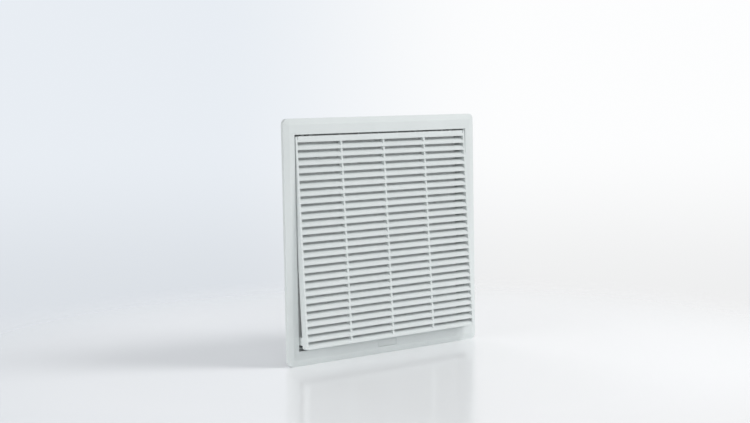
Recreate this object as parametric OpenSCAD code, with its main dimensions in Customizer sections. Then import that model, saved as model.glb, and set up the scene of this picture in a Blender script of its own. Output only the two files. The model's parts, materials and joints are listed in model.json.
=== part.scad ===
// Exhaust filter for a cabinet wall: a bevelled frame with a tub behind it, a louvred
// grille hinged at its top edge, a fleece mat on a rear grid, and four sprung pawls that
// snap behind the panel. Millimetres. The origin is the centre of the flange's seat
// on the panel; +Z is up and -Y points out of the cabinet.

/* [Cut-out and flange] */
// Width of the cut-out in the panel
cutout_w = 291; // [220:1:400]
// Height of the cut-out in the panel
cutout_h = 291; // [220:1:400]
// Gap between the tub and the cut-out on each side
cutout_gap = 0.5; // [0.3:0.1:1]
// How far the flange covers the panel past the cut-out
flange_overlap = 14.5; // [12:0.5:24]
// Thickness of the flange from its seat to its front face
flange_t = 6.5; // [6:0.5:9]
// Height of the flange's straight outer edge
flange_edge = 4.5; // [3:0.5:5]
// Thickness of the flange's front skin
flange_skin = 2.5; // [2:0.1:3]
// Thickness of the rim round the flange
rim_wall = 2; // [1.5:0.1:3]
// Width of the bevel round the front face
bevel_w = 8; // [3:0.5:10]
// Corner radius of the flange in front view
corner_r = 7.5; // [4:0.5:10]
// How far the sealing strip stands proud of the seat
gasket_proud = 1.2; // [0.5:0.1:2]

/* [Tub] */
// Wall thickness of the tub
tub_wall = 2.2; // [2:0.1:2.6]
// How far the tub reaches past the rear grid
tub_recess = 1; // [0.5:0.5:10]
// Radius of the tub's upright corners
tub_corner_r = 3; // [1.5:0.5:6]
// Distance from the tub's side to the opening's side edge
opening_side_inset = 1; // [0.5:0.1:2]
// Distance from the tub's top to the opening's top edge
opening_top_inset = 5.6; // [5:0.1:8]
// Distance from the tub's underside to the opening's bottom edge
opening_bottom_inset = 4.4; // [3.6:0.1:6]

/* [Louvred grille] */
// Running gap between the grille's side and the tub's inner wall
grille_side_gap = 0.5; // [0.3:0.1:1]
// Gap between the grille's top edge and the opening
grille_top_gap = 2.5; // [2:0.1:4]
// Gap between the grille's bottom edge and the opening, for a fingertip
grille_bottom_gap = 3.1; // [2:0.1:6]
// Depth of the grille's side and bottom walls
grille_depth = 10; // [8:0.5:10]
// Depth of the grille's top wall
grille_top_depth = 7; // [5:0.5:7]
// Width of the plain border beside the slots
side_border = 2.6; // [2:0.1:5]
// Height of the plain border above the first slot
top_border = 7.6; // [7.4:0.1:12]
// Thickness of the border and of the top and bottom walls
grille_wall = 1.6; // [1.2:0.1:1.8]
// Distance from one louvre to the next, made to fit the height exactly
louvre_pitch = 9.9; // [8:0.1:16]
// Height of the open slot seen from the front
slot_h = 2.4; // [1.5:0.1:4]
// Depth of a louvre from its front lip to its upper edge
louvre_depth = 7.2; // [4:0.1:8]
// Thickness of a louvre
louvre_t = 1.7; // [1.2:0.1:2.2]
// Height of a louvre's upright front lip
louvre_lip = 2.8; // [0.8:0.1:4]
// How far a louvre's face swells from a flat slope
louvre_swell = 0.5; // [0:0.1:1]
// Thickness of the upright ribs that cross the louvres
rib_t = 3; // [1.5:0.1:5]
// How far the ribs lie behind the front plane
rib_set_back = 0.8; // [0.2:0.1:2]
// Angle at which the grille stands ajar
ajar_angle = 3.4; // [0:0.1:30]

/* [Hinges and catches] */
// Diameter of a hinge pin
hinge_pin_d = 2.5; // [1.5:0.1:2.8]
// Drop of the hinge axis below the opening's top edge
hinge_drop = 7.4; // [7.2:0.1:9]
// Distance of a hinge's middle from the opening's side
hinge_inset = 25.5; // [15:0.5:35]
// Width of the grille's knuckle
knuckle_w = 8; // [5:0.5:12]
// Width of each of the frame's ears
ear_w = 4.5; // [3:0.5:6]
// Height of the latch lug on each side of the grille
lug_h = 10.3; // [7:0.1:11]
// Length of the latch lug behind the grille's side wall
lug_reach = 12; // [11:0.5:13]
// Height of the lug's lower edge above the grille's bottom edge
lug_rise = 5.1; // [4:0.1:8]

/* [Snap-in pawls] */
// Distance of a pawl's middle from the tub's side
pawl_inset = 65; // [50:1:80]
// Width of a pawl
pawl_w = 12; // [8:0.5:16]
// How far a pawl's nose stands out from the tub
pawl_nose = 3.2; // [2.6:0.1:3.4]
// Length of a pawl's ratchet, which sets the range of panels that it holds
ratchet_len = 3; // [2:0.1:4]
// Number of ratchet teeth on a pawl's front
tooth_count = 5; // [3:1:8]
// Diameter of a pawl's pin
pawl_pin_d = 2; // [1.5:0.1:2.4]
// Thickness of the spring strip
spring_t = 0.4; // [0.3:0.1:0.5]

/* [Filter mat and rear grid] */
// Gap between the grille's rear edge and the mat
mat_clear = 3.2; // [2.8:0.1:8]
// Thickness of the mat
mat_t = 14; // [12:0.5:30]
// Thickness of the rear grid's net
grid_t = 2; // [1.5:0.1:2.4]
// Distance from one bar of the net to the next
grid_pitch = 17.5; // [12:0.5:40]
// Width of a bar of the net
grid_bar = 1.8; // [1.2:0.1:3]

/* [Badge field] */
// Width of the bare badge field on the lower band
badge_w = 32; // [15:1:60]
// Height of the badge field
badge_h = 9.4; // [5:0.1:10]
// Depth of the badge field
badge_depth = 0.5; // [0.2:0.1:1]

/* [Hidden] */

// Overrun of a cut past the face it opens, and depth that joined solids share
over = 1;
// Gap left round the soft pieces
soft_gap = 0.3;
// Smallest gap between rigid pieces that pass each other
pass_gap = 0.3;
// Gap on each side of a spring strip in its slot, and between the seal and a pawl
spring_slot = 0.1;
seal_gap = 0.2;
// Radial clearance of a pin in the ears that hold it, and in what turns on it
seat_clear = 0.02;
run_clear = 0.06;
round_fn = 48;
soft_fn = 32;

// Flange, tub and opening, all measured from the middle of the seat
flange_w = cutout_w + 2 * flange_overlap;
flange_h = cutout_h + 2 * flange_overlap;
tub_w = cutout_w - 2 * cutout_gap;
tub_h = cutout_h - 2 * cutout_gap;
tub_x = tub_w / 2;
tub_z = tub_h / 2;
inner_x = tub_x - tub_wall;
inner_z = tub_z - tub_wall;
front_y = -flange_t;
channel_y = front_y + flange_skin;
open_x = tub_x - opening_side_inset;
open_top = tub_z - opening_top_inset;
open_bottom = opening_bottom_inset - tub_z;
// Radius left on the front face's corners where the bevel is wider than the corner
face_corner_r = max(corner_r - bevel_w, corner_r / 10);
// The mat lies behind the grille, the rear grid behind the mat, and the tub reaches past both
mat_front_y = front_y + grille_depth + mat_clear;
mat_back_y = mat_front_y + mat_t;
grid_front_y = mat_back_y + soft_gap;
grid_back_y = grid_front_y + grid_t;
tub_depth = grid_back_y + tub_recess;
// Chamfer that leads the tub into the cut-out, and the inner corner radius
lead_in = 1.4;
inner_corner_r = 1;

// Grille, closed
grille_x = inner_x - grille_side_gap;
grille_top = open_top - grille_top_gap;
grille_bottom = open_bottom + grille_bottom_gap;
louvre_x = grille_x - side_border;
louvre_field = grille_top - top_border - grille_bottom;
louvre_count = max(2, round(louvre_field / louvre_pitch));
pitch = louvre_field / louvre_count;
louvre_h = pitch - slot_h;
grille_corner_r = 2.4;
// How far down a louvre's back the upper edge is cut off, and where its inner fold lies
louvre_edge = 2;
louvre_fold = 2;
swell_steps = 4;
// Slits that part the top border from the side walls at both upper corners
corner_slit_w = 1;
corner_slit_h = 4;
// Ribs across the louvres, as shares of the field's half width, and their depth
rib_shares = [-0.5, 0, 0.5];
rib_depth = 7.4;

// Hinges
ear_r = 2.4;
pin_y = front_y + grille_wall + pass_gap + ear_r;
pin_z = open_top - hinge_drop;
hinge_x = open_x - hinge_inset;
ear_mid = knuckle_w / 2 + pass_gap + ear_w / 2;
hinge_half = knuckle_w / 2 + pass_gap + ear_w;
hinge_notch = hinge_half + 2 * pass_gap;
arm_h = 4;
// The arms' web stays clear of the top wall's rear corner as the grille swings
swing_gap = 3.5;
arm_front_y = front_y + grille_top_depth + swing_gap;

// Fences round the mat
mat_edge_gap = 4.8;
mat_x = inner_x - mat_edge_gap;
mat_z = inner_z - mat_edge_gap;
mat_corner_r = 4;
fence_t = 1.5;
fence_shares = [-1, -0.5, 0, 0.5, 1];
nib_reach = 1.5;
nib_t = 1.5;
fence_front_y = mat_front_y - soft_gap;
fence_back_y = grid_front_y - pass_gap / 3;
// Span of the fences on the side walls, clear of the catches
fence_end = 40;
fence_z = tub_z - fence_end;

// Pawls: u is the distance out from the tub's face and v the depth behind the seat.
// From the rear: bridge, window, pivot. From the front: seal, ratchet, heel
pawl_x = tub_x - pawl_inset;
window_side = 0.4;
window_w = pawl_w + 2 * window_side;
boss_w = 3;
boss_r = 2.4;
bridge_t = 1.6;
bridge_depth = 4.2;
bridge_back_v = grid_front_y - pass_gap;
bridge_front_v = bridge_back_v - bridge_t;
window_back_v = bridge_front_v - pass_gap;
pivot_v = window_back_v - boss_r;
pivot_sink = 0.2;
pivot_u = -tub_wall - pivot_sink;
pawl_knuckle_r = 2.2;
pawl_front_v = gasket_proud + seal_gap;
pawl_tip_v = pawl_front_v + ratchet_len;
window_front_v = pawl_front_v - window_side;
tooth_root_u = 0.2;
wing_w = 2;
wing_t = 0.7;
wing_front_v = pawl_front_v + over;
pawl_back_u = -tub_wall - pass_gap - wing_t;
heel_drop = 0.6;
pawl_heel_v = pawl_tip_v + heel_drop;
spring_w = 8;
spring_set_in = 0.8;
spring_u = pivot_u - pawl_knuckle_r - spring_set_in;
spring_tip_u = pawl_back_u - pass_gap - spring_t / 2;
spring_curl = 0.7;
spring_curl_v = pawl_heel_v;
spring_tip_v = spring_curl_v + 2 * spring_curl;
// Where the spring leaves its straight stretch, as a share of the way from tip to pivot
spring_bend_share = 0.66;
spring_bend_v = spring_tip_v + spring_bend_share * (pivot_v - spring_tip_v);
fence_clear = 6;
fence_x = pawl_x - window_w / 2 - boss_w - fence_clear;

// Catches: a bowed strip in a pocket of each side wall grips the lug's notch
lug_z = grille_bottom + lug_rise + lug_h / 2;
lug_back_y = front_y + grille_depth + lug_reach;
// The strip starts this far in front of the grille's rear edge
catch_lead = 2.5;
catch_end_y = front_y + grille_depth - catch_lead;
catch_len = 15;
catch_mid_y = catch_end_y + catch_len / 2;
catch_land = 1;
catch_w = 9.6;
catch_pocket_d = 1.4;
catch_crest = 0.9;
catch_margin = 1.5;
notch_half = 2.3;
notch_d = 1;
lug_taper = 1;

// Snap tabs that hold the rear grid in the tub
tab_shares = [-0.75, -0.25, 0.25, 0.75];
tab_w = 8;
tab_reach = 1.4;
tab_ramp = 0.8;
tab_gap = 0.4;
grid_edge = 6;
grid_rib = 3;
grid_rib_shares = [-0.5, 0, 0.5];

// Notch in the lower rim for a screwdriver
pry_x = -40.5;
pry_w = 7;
pry_d = 2.5;

// Badge field below the opening
badge_drop = 0.6;

module along_y(l) {
  rotate([-90, 0, 0]) linear_extrude(l) children();
}

module along_x(l) {
  translate([-l / 2, 0, 0]) rotate([90, 0, 90]) linear_extrude(l) children();
}

// A slab in the XZ plane with round upright corners, from y = 0 to y = t
module rounded_slab(w, h, t, r, fn = round_fn) {
  translate([r - w / 2, 0, -h / 2]) cube([w - 2 * r, t, h]);
  translate([-w / 2, 0, r - h / 2]) cube([w, t, h - 2 * r]);
  for (sx = [-1, 1], sz = [-1, 1])
    translate([sx * (w / 2 - r), 0, sz * (h / 2 - r)])
      rotate([-90, 0, 0]) cylinder(h = t, r = r, $fn = fn);
}

module on_side(side) {
  if (side > 0) children();
  else mirror([1, 0, 0]) children();
}

module on_level(level) {
  if (level > 0) children();
  else mirror([0, 0, 1]) children();
}

// Places a profile drawn as [u, v] on the tub's upper or lower face, l long in X
module on_pawl(side, level, l) {
  on_level(level) translate([side * pawl_x, 0, tub_z]) along_x(l) pawl_plane() children();
}

// Turns [u, v] into [y, z]
module pawl_plane() {
  mirror([1, -1, 0]) children();
}

module pin(d, l) {
  rotate([0, 90, 0]) cylinder(h = l, d = d, center = true, $fn = round_fn);
}

// Frame

module flange_body() {
  hull() {
    translate([0, -flange_edge, 0])
      rounded_slab(flange_w, flange_h, flange_edge, corner_r, soft_fn);
    translate([0, front_y, 0])
      rounded_slab(flange_w - 2 * bevel_w, flange_h - 2 * bevel_w, flange_t, face_corner_r, soft_fn);
  }
}

module gasket_channel() {
  difference() {
    translate([0, channel_y, 0])
      rounded_slab(flange_w - 2 * rim_wall, flange_h - 2 * rim_wall,
                   over - channel_y, corner_r - rim_wall);
    translate([0, channel_y, 0])
      rounded_slab(tub_w, tub_h, over - channel_y, tub_corner_r);
  }
}

module tub_body() {
  difference() {
    translate([0, channel_y - over, 0])
      rounded_slab(tub_w, tub_h, tub_depth - channel_y + over, tub_corner_r);
    translate([0, channel_y, 0])
      rounded_slab(2 * inner_x, 2 * inner_z, tub_depth - channel_y + over, inner_corner_r);
    lead_in_cuts();
  }
}

// Chamfers the four rear edges of the tub
module lead_in_cuts() {
  for (side = [-1, 1]) on_side(side)
    translate([tub_x, tub_depth, 0])
      linear_extrude(tub_h + 2 * over, center = true)
        polygon([[over, -lead_in - over], [over, over], [-lead_in - over, over]]);
  for (level = [-1, 1]) on_level(level)
    translate([0, tub_depth, tub_z])
      along_x(tub_w + 2 * over)
        polygon([[-lead_in - over, over], [over, over], [over, -lead_in - over]]);
}

// A fence stands in from a wall to the mat's edge, with a nib in front of the mat.
// Drawn for the right-hand wall, whose inner face is at x = wall
module fence(wall, mat_edge) {
  inner = mat_edge + soft_gap;
  linear_extrude(fence_t, center = true)
    polygon([
      [wall + over, fence_front_y - nib_t],
      [wall + over, fence_back_y],
      [inner, fence_back_y],
      [inner, fence_front_y],
      [inner - nib_reach, fence_front_y],
      [inner, fence_front_y - nib_t]
    ]);
}

module fences() {
  for (s = fence_shares, side = [-1, 1])
    on_side(side) translate([0, 0, s * fence_z]) fence(inner_x, mat_x);
  for (s = fence_shares, level = [-1, 1])
    on_level(level) translate([s * fence_x, 0, 0])
      rotate([0, -90, 0]) fence(inner_z, mat_z);
}

// Two ears on arms that come down from the tub's top wall, clear of the grille's top edge
module hinge_ears() {
  for (e = [-1, 1])
    translate([e * ear_mid, 0, 0]) difference() {
      union() {
        translate([0, pin_y, pin_z]) pin(2 * ear_r, ear_w);
        along_x(ear_w) polygon([
          [pin_y, pin_z - ear_r],
          [fence_front_y - arm_h / 2, pin_z - ear_r],
          [fence_front_y, pin_z - ear_r + arm_h / 2],
          [fence_front_y, inner_z + over],
          [arm_front_y - over, inner_z + over],
          [arm_front_y, inner_z - over],
          [arm_front_y, pin_z + arm_h / 2],
          [pin_y, pin_z + arm_h / 2]
        ]);
      }
      translate([0, pin_y, pin_z]) pin(hinge_pin_d + 2 * seat_clear, ear_w + 2 * over);
    }
}

// Bosses for a pawl's pin on both sides of its window, and the bridge that holds its spring
module pawl_housing() {
  for (e = [-1, 1])
    translate([e * (window_w + boss_w) / 2, 0, tub_z]) along_x(boss_w) pawl_plane() {
      translate([pivot_u, pivot_v]) circle(r = boss_r, $fn = round_fn);
      translate([-tub_wall - over, pivot_v - boss_r]) square([over + tub_wall, 2 * boss_r]);
    }
  translate([0, 0, tub_z]) along_x(window_w + 2 * boss_w) pawl_plane()
    translate([-tub_wall - bridge_depth, bridge_front_v])
      square([bridge_depth + over, bridge_back_v - bridge_front_v]);
}

module pawl_cuts() {
  translate([-window_w / 2, window_front_v, tub_z - tub_wall - over])
    cube([window_w, window_back_v - window_front_v, tub_wall + 2 * over]);
  translate([0, pivot_v, tub_z + pivot_u])
    pin(pawl_pin_d + 2 * seat_clear, window_w + 2 * boss_w + 2 * over);
  translate([0, 0, tub_z]) along_x(spring_w + 2 * spring_slot) pawl_plane()
    translate([spring_u - spring_t / 2 - spring_slot, bridge_front_v - over])
      square([spring_t + 2 * spring_slot, bridge_back_v - bridge_front_v + 2 * over]);
}

// Pocket for a catch: its mouth is shorter than its bed, so lips hold down the strip's ends
module catch_pocket() {
  h = catch_w + 2 * catch_margin;
  bed = spring_t + 2 * spring_slot;
  translate([inner_x - over, catch_end_y + catch_land, lug_z - h / 2])
    cube([catch_pocket_d + over, catch_len - 2 * catch_land, h]);
  translate([inner_x + catch_pocket_d - bed, catch_end_y - pass_gap, lug_z - h / 2])
    cube([bed, catch_len + 2 * pass_gap, h]);
}

// Windows that the rear grid's tabs snap into, in the side and end walls
module tab_windows() {
  for (s = tab_shares, side = [-1, 1])
    on_side(side) translate([0, 0, s * fence_z]) tab_window(inner_x);
  for (s = tab_shares, level = [-1, 1])
    on_level(level) translate([s * fence_x, 0, 0]) rotate([0, -90, 0]) tab_window(inner_z);
}

module tab_window(wall) {
  translate([wall - over, grid_front_y - tab_gap, -tab_w / 2 - tab_gap])
    cube([tub_wall + 2 * over, grid_t + tab_gap, tab_w + 2 * tab_gap]);
}

module front_frame() {
  color([0.84, 0.86, 0.86]) difference() {
    union() {
      difference() {
        flange_body();
        gasket_channel();
        translate([-open_x, front_y - over, open_bottom])
          cube([2 * open_x, flange_t + 2 * over, open_top - open_bottom]);
      }
      difference() {
        tub_body();
        translate([-open_x, channel_y - 2 * over, open_bottom])
          cube([2 * open_x, 2 * over, open_top - open_bottom]);
      }
      fences();
      for (side = [-1, 1])
        translate([side * hinge_x, 0, 0]) hinge_ears();
      for (side = [-1, 1], level = [-1, 1])
        on_level(level) translate([side * pawl_x, 0, 0]) pawl_housing();
    }
    for (side = [-1, 1], level = [-1, 1])
      on_level(level) translate([side * pawl_x, 0, 0]) pawl_cuts();
    for (side = [-1, 1]) on_side(side) catch_pocket();
    tab_windows();
    translate([-badge_w / 2, front_y - over, open_bottom - badge_drop - badge_h])
      cube([badge_w, over + badge_depth, badge_h]);
    translate([pry_x - pry_w / 2, -pry_d, -flange_h / 2 - over])
      cube([pry_w, pry_d + over, rim_wall + 2 * over]);
  }
}

// Rear grid

module rear_grid() {
  w = 2 * (inner_x - grille_side_gap);
  h = 2 * (inner_z - grille_side_gap);
  net_w = w - 2 * grid_edge;
  net_h = h - 2 * grid_edge;
  nx = max(1, round(net_w / grid_pitch));
  nz = max(1, round(net_h / grid_pitch));
  step_x = (net_w + grid_bar) / nx;
  step_z = (net_h + grid_bar) / nz;
  color([0.82, 0.84, 0.84]) {
    translate([0, grid_front_y, 0]) along_y(grid_t) difference() {
      square([w, h], center = true);
      for (i = [0:nx - 1], j = [0:nz - 1])
        translate([i * step_x - net_w / 2, j * step_z - net_h / 2])
          square([step_x - grid_bar, step_z - grid_bar]);
    }
    for (s = grid_rib_shares) {
      translate([s * net_w - grid_rib / 2, grid_front_y, -net_h / 2 - over])
        cube([grid_rib, tub_depth - grid_front_y, net_h + 2 * over]);
      translate([-net_w / 2 - over, grid_front_y, s * net_h - grid_rib / 2])
        cube([net_w + 2 * over, tub_depth - grid_front_y, grid_rib]);
    }
    for (s = tab_shares, side = [-1, 1])
      on_side(side) translate([0, 0, s * fence_z]) grid_tab(w / 2);
    for (s = tab_shares, level = [-1, 1])
      on_level(level) translate([s * fence_x, 0, 0]) rotate([0, -90, 0]) grid_tab(h / 2);
  }
}

module grid_tab(edge) {
  linear_extrude(tab_w, center = true) polygon([
    [edge - over, grid_front_y],
    [edge, grid_front_y],
    [edge + tab_reach, grid_front_y + tab_ramp],
    [edge + tab_reach, grid_back_y - tab_gap],
    [edge - over, grid_back_y - tab_gap]
  ]);
}

// Soft pieces

module filter_mat() {
  color([0.93, 0.93, 0.9]) translate([0, mat_front_y, 0])
    rounded_slab(2 * mat_x, 2 * mat_z, mat_t, mat_corner_r);
}

module flange_gasket() {
  t = gasket_proud - channel_y - soft_gap;
  color([0.18, 0.18, 0.19]) translate([0, channel_y + soft_gap, 0]) difference() {
    rounded_slab(flange_w - 2 * (rim_wall + soft_gap), flange_h - 2 * (rim_wall + soft_gap),
                 t, corner_r - rim_wall - soft_gap);
    translate([0, -over, 0])
      rounded_slab(tub_w + 2 * soft_gap, tub_h + 2 * soft_gap, t + 2 * over,
                   tub_corner_r + soft_gap);
  }
}

// Grille

// Face of a louvre from the top of its lip to its upper rear edge, as [depth, height]
function louvre_face() = [
  for (i = [0:swell_steps])
    let (t = i / swell_steps, rise = louvre_h - louvre_lip, swell = 4 * t * (1 - t) * louvre_swell)
      let (slope = sqrt(louvre_depth * louvre_depth + rise * rise))
        [t * louvre_depth - swell * rise / slope, louvre_lip + t * rise + swell * louvre_depth / slope]
];

module louvre_profile() {
  polygon(concat([[0, 0]], louvre_face(), [
    [louvre_depth, louvre_h - louvre_edge],
    [louvre_t, louvre_fold],
    [louvre_t, 0]
  ]));
}

module grille_walls() {
  difference() {
    translate([0, front_y, (grille_top + grille_bottom) / 2])
      rounded_slab(2 * grille_x, grille_top - grille_bottom, grille_depth, grille_corner_r);
    translate([-louvre_x, front_y - over, grille_bottom + grille_wall])
      cube([2 * louvre_x, grille_depth + 2 * over, grille_top - grille_bottom - 2 * grille_wall]);
    translate([-louvre_x, front_y + grille_top_depth, grille_top - 2 * grille_wall])
      cube([2 * louvre_x, grille_depth, 3 * grille_wall]);
    for (side = [-1, 1])
      translate([side * hinge_x - hinge_notch, front_y + grille_wall, grille_top - 2 * grille_wall])
        cube([2 * hinge_notch, grille_depth, 3 * grille_wall]);
  }
}

module louvres() {
  for (k = [0:louvre_count - 1])
    translate([0, front_y, grille_bottom + k * pitch])
      along_x(2 * louvre_x + over) louvre_profile();
  translate([-louvre_x - over / 2, front_y, grille_top - top_border])
    cube([2 * louvre_x + over, grille_wall, top_border - grille_wall / 2]);
}

module ribs() {
  for (s = rib_shares)
    translate([s * louvre_x - rib_t / 2, front_y + rib_set_back, grille_bottom + grille_wall / 2])
      cube([rib_t, rib_depth - rib_set_back, grille_top - grille_bottom - grille_wall - over]);
}

module latch_lug() {
  y0 = front_y + grille_depth;
  translate([0, 0, lug_z]) linear_extrude(lug_h, center = true) polygon([
    [louvre_x, y0 - over],
    [grille_x, y0 - over],
    [grille_x, catch_mid_y - notch_half - notch_d],
    [grille_x - notch_d, catch_mid_y - notch_half],
    [grille_x - notch_d, catch_mid_y + notch_half],
    [grille_x, catch_mid_y + notch_half],
    [grille_x, lug_back_y - lug_taper],
    [grille_x - lug_taper, lug_back_y],
    [louvre_x, lug_back_y]
  ]);
}

module corner_slit() {
  translate([louvre_x - corner_slit_w, front_y - over, grille_top - corner_slit_h])
    cube([corner_slit_w, grille_top_depth + 2 * over, corner_slit_h + over]);
}

module hinge_knuckle() {
  translate([0, pin_y, pin_z]) pin(2 * ear_r, knuckle_w);
  translate([-knuckle_w / 2, front_y + grille_wall / 2, pin_z - ear_r])
    cube([knuckle_w, pin_y - front_y - grille_wall / 2, 2 * ear_r]);
}

module grille_closed() {
  difference() {
    union() {
      grille_walls();
      louvres();
      ribs();
      for (side = [-1, 1]) {
        on_side(side) latch_lug();
        translate([side * hinge_x, 0, 0]) hinge_knuckle();
      }
    }
    for (side = [-1, 1]) {
      translate([side * hinge_x, pin_y, pin_z])
        pin(hinge_pin_d + 2 * run_clear, knuckle_w + 2 * over);
      on_side(side) corner_slit();
    }
  }
}

module louvre_grille() {
  color([0.87, 0.89, 0.89])
    translate([0, pin_y, pin_z]) rotate([-ajar_angle, 0, 0]) translate([0, -pin_y, -pin_z])
      grille_closed();
}

module hinge_pin(side) {
  color([0.75, 0.76, 0.78])
    translate([side * hinge_x, pin_y, pin_z]) pin(hinge_pin_d, 2 * hinge_half);
}

// Bowed strip with flat lands at both ends
module grille_catch(side) {
  land_x = inner_x + catch_pocket_d - spring_t / 2 - spring_slot;
  crest_x = inner_x - catch_crest;
  color([0.78, 0.79, 0.8]) on_side(side) translate([0, 0, lug_z])
    linear_extrude(catch_w, center = true)
      strip([
        [land_x, catch_end_y],
        [land_x, catch_end_y + catch_land],
        [crest_x, catch_mid_y],
        [land_x, catch_end_y + catch_len - catch_land],
        [land_x, catch_end_y + catch_len]
      ], spring_t);
}

// A strip of thickness t along a polyline, mitred at its bends
function unit(v) = v / norm(v);
function normal_at(p, i) =
  let (a = unit(p[min(i + 1, len(p) - 1)] - p[min(i, len(p) - 2)]),
       b = unit(p[max(i, 1)] - p[max(i - 1, 0)]),
       n = unit([-(a[1] + b[1]), a[0] + b[0]]))
    n / (n * [-a[1], a[0]]);

module strip(p, t) {
  left = [for (i = [0:len(p) - 1]) p[i] + normal_at(p, i) * t / 2];
  right = [for (i = [len(p) - 1:-1:0]) p[i] - normal_at(p, i) * t / 2];
  polygon(concat(left, right));
}

// Pawls

// Steps of the ratchet from the nose's tip down to the front, as [u, v]
function ratchet() = [
  for (i = [0:tooth_count - 1])
    let (du = (pawl_nose - tooth_root_u) / tooth_count, dv = (pawl_tip_v - pawl_front_v) / tooth_count)
      each [
        [pawl_nose - i * du, pawl_tip_v - (i + 1) * dv],
        [pawl_nose - (i + 1) * du, pawl_tip_v - (i + 1) * dv]
      ]
];

module pawl(side, level) {
  knuckle_out = pivot_u + pawl_knuckle_r;
  color([0.84, 0.86, 0.86]) difference() {
    union() {
      on_pawl(side, level, pawl_w) {
        translate([pivot_u, pivot_v]) circle(r = pawl_knuckle_r, $fn = round_fn);
        polygon(concat([[knuckle_out, pivot_v], [pawl_nose, pawl_tip_v]], ratchet(), [
          [pawl_back_u, pawl_front_v],
          [pawl_back_u, pawl_heel_v],
          [pivot_u - pawl_knuckle_r, pivot_v]
        ]));
      }
      on_pawl(side, level, pawl_w + 2 * wing_w)
        translate([pawl_back_u, wing_front_v])
          square([wing_t, pawl_heel_v - wing_front_v]);
    }
    on_level(level) translate([side * pawl_x, pivot_v, tub_z + pivot_u])
      pin(pawl_pin_d + 2 * run_clear, pawl_w + 2 * over);
  }
}

module pawl_pin(side, level) {
  color([0.75, 0.76, 0.78]) on_level(level)
    translate([side * pawl_x, pivot_v, tub_z + pivot_u]) pin(pawl_pin_d, window_w + 2 * boss_w);
}

module pawl_spring(side, level) {
  color([0.78, 0.79, 0.8]) on_pawl(side, level, spring_w)
    strip([
      [spring_u, bridge_back_v],
      [spring_u, spring_bend_v],
      [spring_tip_u, spring_tip_v],
      [spring_tip_u - spring_curl, spring_curl_v]
    ], spring_t);
}

front_frame();
rear_grid();
filter_mat();
flange_gasket();
louvre_grille();
hinge_pin(-1);  // hinge_pin_left
hinge_pin(1);  // hinge_pin_right
grille_catch(-1);  // grille_catch_left
grille_catch(1);  // grille_catch_right
pawl(-1, 1);  // pawl_upper_left
pawl(1, 1);  // pawl_upper_right
pawl(-1, -1);  // pawl_lower_left
pawl(1, -1);  // pawl_lower_right
pawl_pin(-1, 1);  // pawl_pin_upper_left
pawl_pin(1, 1);  // pawl_pin_upper_right
pawl_pin(-1, -1);  // pawl_pin_lower_left
pawl_pin(1, -1);  // pawl_pin_lower_right
pawl_spring(-1, 1);  // pawl_spring_upper_left
pawl_spring(1, 1);  // pawl_spring_upper_right
pawl_spring(-1, -1);  // pawl_spring_lower_left
pawl_spring(1, -1);  // pawl_spring_lower_right
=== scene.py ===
# Enclosure exhaust filter, dressed for rendering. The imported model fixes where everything
# is; richer pieces stand in for its frame, grille, pawls, mat, net and sealing strip.
import json
import math

import bmesh
import bpy
from mathutils import Matrix, Vector, noise


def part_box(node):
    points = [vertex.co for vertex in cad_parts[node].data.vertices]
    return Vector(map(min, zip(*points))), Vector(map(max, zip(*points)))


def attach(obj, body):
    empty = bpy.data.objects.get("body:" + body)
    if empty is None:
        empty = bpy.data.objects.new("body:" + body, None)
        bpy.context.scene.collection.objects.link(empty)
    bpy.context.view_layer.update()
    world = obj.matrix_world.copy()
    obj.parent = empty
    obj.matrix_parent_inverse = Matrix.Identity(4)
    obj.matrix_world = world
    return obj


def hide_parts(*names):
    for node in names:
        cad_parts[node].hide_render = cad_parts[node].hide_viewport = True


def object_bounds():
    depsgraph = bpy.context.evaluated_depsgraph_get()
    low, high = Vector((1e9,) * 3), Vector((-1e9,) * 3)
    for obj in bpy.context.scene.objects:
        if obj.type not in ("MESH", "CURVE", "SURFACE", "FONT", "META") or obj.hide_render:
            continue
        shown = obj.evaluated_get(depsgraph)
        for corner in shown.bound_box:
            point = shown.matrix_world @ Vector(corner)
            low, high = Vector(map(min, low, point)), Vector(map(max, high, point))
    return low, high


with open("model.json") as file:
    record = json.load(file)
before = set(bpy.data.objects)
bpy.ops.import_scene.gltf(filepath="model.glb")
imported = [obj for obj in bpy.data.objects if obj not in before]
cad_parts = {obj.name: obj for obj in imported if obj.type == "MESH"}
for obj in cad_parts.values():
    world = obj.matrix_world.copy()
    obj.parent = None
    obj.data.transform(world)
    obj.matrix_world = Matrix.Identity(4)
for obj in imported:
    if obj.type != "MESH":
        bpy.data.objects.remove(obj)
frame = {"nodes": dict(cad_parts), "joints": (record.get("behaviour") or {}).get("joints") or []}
cadLow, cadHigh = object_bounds()
mm = 0.001

# Merged parts sink into one another by a few hairs, so that no two faces share a plane
hair = 0.01 * mm
print("frame loaded with", len(frame["nodes"]), "nodes")


# Where the photograph was taken from, in metres and degrees
photoCamera = {
    "place": (-1.1012, -1.4356, 0.1862),
    "heading": -37.18,
    "pitch": -4.88,
    "roll": -0.99,
    "lens": 64.61,
    "sensor": 36.0,
}


def addCamera(s):
    data = bpy.data.cameras.new("photoCamera")
    data.lens = s["lens"]
    data.sensor_width = s["sensor"]
    camera = bpy.data.objects.new("photoCamera", data)
    bpy.context.scene.collection.objects.link(camera)
    turn = Matrix.Rotation(math.radians(s["heading"]), 4, "Z")
    tilt = Matrix.Rotation(math.radians(90 + s["pitch"]), 4, "X")
    roll = Matrix.Rotation(math.radians(s["roll"]), 4, "Z")
    camera.matrix_world = Matrix.Translation(s["place"]) @ turn @ tilt @ roll
    bpy.context.scene.camera = camera


addCamera(photoCamera)


# Node helpers

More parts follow.
